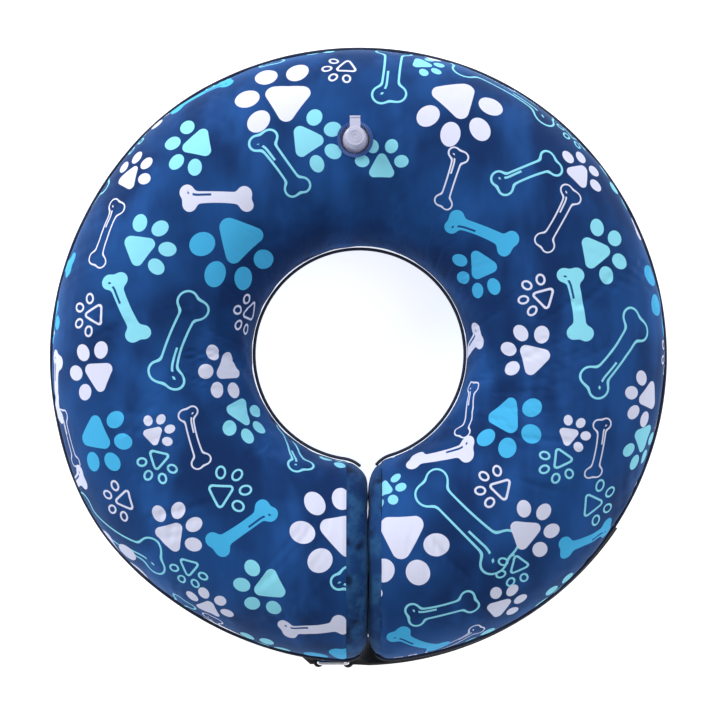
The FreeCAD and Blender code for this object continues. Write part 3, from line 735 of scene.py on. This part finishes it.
def panel(angles, columns, isBack):
    fromRim = lengthAt(np.abs(angles))[None, :]
    plain = tubePoints(columns, angles)
    count = cover["simBackRows"] if isBack else cover["simFrontRows"]
    if isBack:
        move = np.concatenate([simMove[:, :1], simMove[:, simFront - 1:][:, ::-1]], axis=1)
    else:
        move = simMove[:, :simFront]
    move = resample(move, (columns + 1) * cover["simColumns"], 0)
    move = resample(move, fromRim[0] / halfLength * count, 1)
    normal = gridNormals(plain, isBack)
    depth = puckers(plain, fromRim + 0 * plain[..., 0], 40 if isBack else 0)
    depth = depth + np.sum(move * normal, axis=2)
    if isBack:
        depth = np.minimum(depth, 0) * 0.8
    points = plain + normal * depth[..., None]
    points[..., 2] = np.maximum(points[..., 2], 0.1 * mm)
    return points


# the slot for the zipper in the left arm's back panel
slot = {"drop": 38.0, "start": 152.0, "end": 236.8, "half": 5.1 * mm, "fold": 0.5 * mm}


def backAngles():
    middle = float(lengthAt(math.radians(slot["drop"])))
    low, high = middle - slot["half"], middle + slot["half"]
    before = np.linspace(0, low, 15)
    after = np.linspace(high, halfLength, cover["backRows"] - 20)
    lengths = np.concatenate([before, [low + slot["fold"]], [high - slot["fold"]], after])
    return -angleAt(lengths), 14


def holeAround(points, x, y, radius):
    # moves the points near an opening out to its edge, and says which faces go
    dx, dy = points[..., 0] - x, points[..., 1] - y
    away = np.hypot(dx, dy)
    upper = points[..., 2] > midZ
    gone = upper & (away < radius * 0.72)
    near = upper & (away < radius) & ~gone
    scale = np.where(near, radius / np.maximum(away, 1e-9), 1.0)
    points[..., 0] = x + dx * scale
    points[..., 1] = y + dy * scale
    return gone


def facesWithout(gone):
    return ~(gone[:-1, :-1] | gone[1:, :-1] | gone[1:, 1:] | gone[:-1, 1:])


def blendHalf(piece):
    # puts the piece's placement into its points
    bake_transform(piece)


def makeFront():
    angles = sectionRows(cover["frontRows"], 2)[0]
    columns = np.linspace(-1, 1, 2 * cover["columns"] + 1)
    points = panel(angles, columns, False)
    normals = gridNormals(points, False)
    fields = printFields(points, angles)
    gone = holeAround(points, valveX, valveY, cover["valveOpening"])
    middle = cover["columns"]
    for side, part in ((left, slice(0, middle + 1)), (right, slice(middle, None))):
        name = "cover_front_" + armName[side] + "_half"
        piece = gridPiece(name, points[part], keepFace=facesWithout(gone[part]), normals=normals[part])
        for field, values in fields.items():
            store(piece, field, values[part])
        dress(piece, "plushPrint")
        nodes = ["cover_front_" + armName[side]] + (["cover_front_crown"] if side == left else [])
        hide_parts(*nodes)
        blendHalf(piece)
    print("front panel:", points.shape[0] * points.shape[1], "points")


def makeBack():
    angles, slotRow = backAngles()
    columns = np.linspace(-1, 1, 2 * cover["columns"] * 2 // 3 + 1)
    points = panel(angles, columns, True)
    fields = printFields(points, angles, backSide=True)
    azimuth = np.degrees(np.arctan2(points[..., 1], points[..., 0])) % 360
    normals = gridNormals(points, True)
    inSlot = (azimuth > slot["start"]) & (azimuth < slot["end"]) & (columns < 0)[:, None]
    for row, sink in ((slotRow + 1, 0.9), (slotRow + 2, 0.9), (slotRow, 0.15), (slotRow + 3, 0.15)):
        points[:, row] -= normals[:, row] * (inSlot[:, row] * sink * mm)[:, None]
    keep = np.ones((len(columns) - 1, len(angles) - 1), bool)
    keep[:, slotRow + 1] = ~inSlot[:-1, slotRow + 1]
    middle = (len(columns) - 1) // 2
    for side, part in ((left, slice(0, middle + 1)), (right, slice(middle, None))):
        name = "cover_back_" + armName[side] + "_half"
        faces = slice(0, middle) if side == left else slice(middle, None)
        piece = gridPiece(name, points[part], reverse=True, keepFace=keep[faces], normals=normals[part])
        for field, values in fields.items():
            store(piece, field, values[part])
        dress(piece, "plushPrint")
        nodes = ["cover_back_" + armName[side]] + (["cover_back_crown"] if side == left else [])
        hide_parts(*nodes)
        blendHalf(piece)
    print("back panel:", points.shape[0] * points.shape[1], "points")


def makeEnds():
    angles = np.concatenate([sectionRows(96, 2)[0], sectionRows(2, 72)[1][::-1][1:-1]])
    shares = np.linspace(0, 1, cover["endRows"] + 1)
    for side in (left, right):
        points = endPoints(side, shares, angles)
        normal = gridNormals(points, side == right)
        ripple = patches(points[..., 1] + 1, points[..., 2] + 1, 11 * mm, 23 + side) * 0.5
        ripple = ripple + patches(points[..., 1] + 1, points[..., 2] + 1, 24 * mm, 29 + side) * 0.6
        fade = smooth(shares * 6)[:, None] * (1 - smooth((shares - 0.55) * 3))[:, None]
        seam = np.exp(-(shares * 20) ** 2)[:, None]
        outward = np.sign(np.mean(normal[4, :, 0]) * -side) or 1
        points = points + normal * outward * (ripple * fade - 0.6 * seam)[..., None] * mm
        points[..., 2] = np.maximum(points[..., 2], 0.1 * mm)
        piece = gridPiece("end_gusset_" + armName[side] + "_plush", points, reverse=side == left,
                          closed=True)
        dress(piece, "plushPlainShaded")
        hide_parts("end_gusset_" + armName[side])
        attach(piece, armName[side] + "_arm")
    print("end walls made")


bladder = {
    "inset": 3.2 * mm, "endBack": 14 * mm, "opening": 12.4 * mm, "crinkle": 0.35 * mm,
    "columns": 120, "frontRows": 30, "backRows": 26, "endRows": 14,
}


def makeBladder():
    inset, middle = bladder["inset"], bladder["columns"]
    back = {left: bladder["endBack"], right: bladder["endBack"]}
    angles = np.concatenate([sectionRows(bladder["frontRows"], 2)[0],
                             sectionRows(2, bladder["backRows"])[1][::-1][1:-1]])
    columns = np.linspace(-1, 1, 2 * middle + 1)
    points = tubePoints(columns, angles, inset=inset, seamBack=back)
    normal = gridNormals(points, False)
    around = np.unwrap(np.arctan2(points[..., 1], points[..., 0]), axis=0) + 10
    crinkle = bladder["crinkle"] * (1 + wander(around * outerRadius, 12 * mm, 41))
    points = points - normal * crinkle[..., None]
    gone = holeAround(points, valveX, valveY, bladder["opening"])
    wallBack = bladder["endBack"] - 0.01 * mm
    for side, part in ((left, slice(0, middle + 1)), (right, slice(middle, None))):
        shares = np.linspace(0, 1, bladder["endRows"])
        wall = endPoints(side, shares, angles, inset=inset, back=wallBack)
        half = points[part] if side == right else points[part][::-1]
        whole = np.concatenate([half, wall[1:]])
        hole = gone[part] if side == right else gone[part][::-1]
        hole = np.concatenate([hole, np.zeros(wall[1:].shape[:2], bool)])
        closed = np.concatenate([hole, hole[:, :1]], axis=1)
        piece = gridPiece("bladder_" + armName[side] + "_half", whole, reverse=side == left, closed=True,
                          keepFace=facesWithout(closed))
        dress(piece, "film")
        nodes = ["bladder_" + armName[side]] + (["bladder_crown"] if side == left else [])
        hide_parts(*nodes)
        blendHalf(piece)
    print("bladder made")


# the valve's soft cone, built as a plain cone; the real one folds inwards as the valve is pushed in
diaphragm = {"wall": 0.8 * mm, "topRadius": 6.1 * mm, "rows": 10, "around": 72}


def makeDiaphragm():
    low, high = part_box("valve_diaphragm")
    baseRadius = (high.x - low.x) / 2
    share = np.linspace(0, 1, diaphragm["rows"])
    outer = np.stack([baseRadius + (diaphragm["topRadius"] - baseRadius) * share,
                      low.z + (high.z - low.z) * share], axis=1)
    inner = outer[::-1] - [diaphragm["wall"], 0]
    profile = np.concatenate([outer, inner])
    turn = np.linspace(0, 2 * math.pi, diaphragm["around"] + 1)
    points = np.stack([valveX + profile[None, :, 0] * np.cos(turn)[:, None],
                       valveY + profile[None, :, 0] * np.sin(turn)[:, None],
                       profile[None, :, 1] + 0 * turn[:, None]], axis=-1)
    points[-1] = points[0]
    piece = gridPiece("valve_diaphragm_cone", points, reverse=True, closed=True)
    dress(piece, "vinyl")
    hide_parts("valve_diaphragm")
    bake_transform(piece)
    print("diaphragm made")


# piping
def ropePoints(path, radius, count):
    # tube along a path of points, as a grid
    tangent = np.gradient(path, axis=0)
    tangent /= np.linalg.norm(tangent, axis=1, keepdims=True)
    up = np.array([0.0, 0.0, 1.0])
    side = np.cross(tangent, up)
    side /= np.linalg.norm(side, axis=1, keepdims=True)
    top = np.cross(side, tangent)
    turn = np.linspace(0, 2 * math.pi, count, endpoint=False)
    ring = side[:, None] * np.cos(turn)[None, :, None] + top[:, None] * np.sin(turn)[None, :, None]
    return path[:, None] + ring * radius


piping = {
    "segments": 420, "around": 14,
    "fill": 0.8,                   # cord radius, as a share of the room the frame gives it
    "seamBack": 4 * mm,            # stops this far from the end face
    "endDrawn": 0.45,              # and where the end's rounding has drawn in this share
    "waver": 0.25 * mm,
}


def makePiping():
    rounding = cover["endRounding"]
    back = {left: piping["seamBack"], right: piping["seamBack"]}
    for label, angle, out in (("rim", 0.0, rimBead - outerRadius),
                              ("neck", math.pi, neckBead - neckRadius)):
        for side in (left, right):
            columns = np.linspace(0, side, piping["segments"])
            path = tubePoints(columns, np.array([angle]), seamBack=back)[:, 0]
            flat = np.hypot(path[:, 0], path[:, 1])
            drawn = roundedEnd(np.where(path[:, 1] < 0, side * (path[:, 0] - faceX[side]), 1.0))
            path[:, :2] *= ((flat + out) / flat)[:, None]
            path = path[drawn < piping["endDrawn"] * rounding]
            wave = wander(np.linspace(0, 40, len(path)), 1.0, 51 + side)
            path[:, 2] = midZ + piping["waver"] * wave
            points = ropePoints(path, beadRadius * piping["fill"], piping["around"])
            points[..., 2] = np.clip(points[..., 2], midZ - 2 * mm, midZ + 2 * mm)
            points[-1] = points[-1].mean(axis=0)
            name = label + "_piping_" + armName[side] + "_half"
            piece = gridPiece(name, points, reverse=side == right, closed=True)
            dress(piece, "piping")
            nodes = [label + "_piping_" + armName[side]]
            nodes += [label + "_piping_crown"] if side == left else []
            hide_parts(*nodes)
            blendHalf(piece)
    print("piping made")


makeFront()
makeBack()
makeEnds()
makeBladder()
makePiping()
makeDiaphragm()

# pieces kept from the frame
keptFinishes = {
    "valve_buttonhole_ring": "thread", "valve_flange": "vinyl",
    "valve_stem": "vinyl", "valve_check_flap": "vinyl", "valve_cap": "vinyl", "valve_tether": "vinyl",
    "zipper_tape_front": "zipTape", "zipper_tape_back": "zipTape", "zipper_teeth_front": "zipTeeth",
    "zipper_teeth_back": "zipTeeth", "zipper_top_stop": "zipMetal", "zipper_bottom_stop": "zipMetal",
    "zipper_slider": "zipMetal", "zipper_pull": "zipMetal", "closure_strap": "webbing",
    "strap_hook_tape": "hook", "rim_loop_tape": "loop", "keeper_tab": "webbing", "strap_ring": "ring",
}
for name, finish in keptFinishes.items():
    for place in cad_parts[name].material_slots:
        place.material = finishes[finish]

# floor, light and camera
studio = {
    "camera": (0.3 * mm, -3.4 * mm, 1030 * mm), "lens": 81.2,
    "sky": 0.40, "paperGlow": 0.75,
    "lights": [("key", (-1.1, 0.9, 0.8), 0.7, 19), ("fill", (1.0, -0.1, 1.2), 1.1, 5.5),
               ("top", (0.3, 1.25, 0.7), 0.9, 6)],      # name, place, size in metres, watts
}


def makeStudio():
    bpy.ops.mesh.primitive_plane_add(size=8)
    floor = bpy.context.object
    floor.name = "floor"
    finish = Finish("floorPaper")
    finish.set(color=(0.93, 0.93, 0.94, 1), roughness=0.9, gloss=0.1,
               emissionColor=(1, 1, 1, 1), emissionStrength=studio["paperGlow"])
    floor.data.materials.append(finish.material)

    world = bpy.data.worlds.new("studio")
    bpy.context.scene.world = world
    world.use_nodes = True
    world.node_tree.nodes["Background"].inputs["Color"].default_value = (0.93, 0.96, 1, 1)
    world.node_tree.nodes["Background"].inputs["Strength"].default_value = studio["sky"]

    for name, place, size, power in studio["lights"]:
        light = bpy.data.lights.new(name, "AREA")
        light.size = size
        light.energy = power
        lamp = bpy.data.objects.new(name, light)
        bpy.context.scene.collection.objects.link(lamp)
        lamp.location = place
        aim = -lamp.location
        lamp.rotation_euler = aim.to_track_quat("-Z", "Y").to_euler()

    camera = bpy.data.objects.new("camera", bpy.data.cameras.new("camera"))
    bpy.context.scene.collection.objects.link(camera)
    camera.data.lens = studio["lens"]
    camera.data.sensor_width = 36
    camera.location = studio["camera"]
    bpy.context.scene.camera = camera
    bpy.context.scene.view_settings.view_transform = "Standard"


makeStudio()
